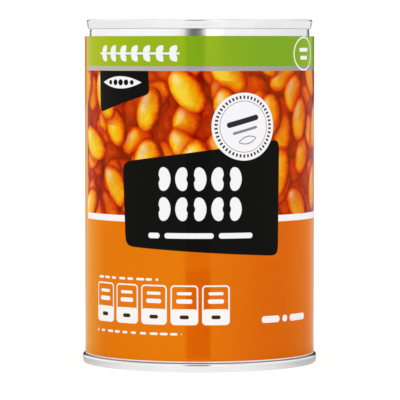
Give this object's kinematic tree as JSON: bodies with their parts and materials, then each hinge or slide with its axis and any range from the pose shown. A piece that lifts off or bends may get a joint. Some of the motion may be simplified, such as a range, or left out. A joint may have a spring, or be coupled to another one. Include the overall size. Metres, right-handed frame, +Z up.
{
  "type": "canned beans",
  "caption": "Shut steel food can of beans with a necked top, a seamed end at top and bottom and a wrapped paper label.",
  "frame": {"origin": "centre of the circle on which the can stands, level with the foot of the bottom seam", "axes": "+Z up along the can's axis, -Y towards the front of the label, +X to the right of the front"},
  "size_m": [0.075, 0.075, 0.1092],
  "materials": {
    "tinplate": "bright tin with fine rolling lines",
    "label_paper": "glossy printed paper, mostly orange with a green band at the top"
  },
  "bodies": {
    "root": {"bottom_end": "tinplate", "can_body": "tinplate", "top_end": "tinplate", "paper_label": "label_paper"}
  },
  "joints": []
}
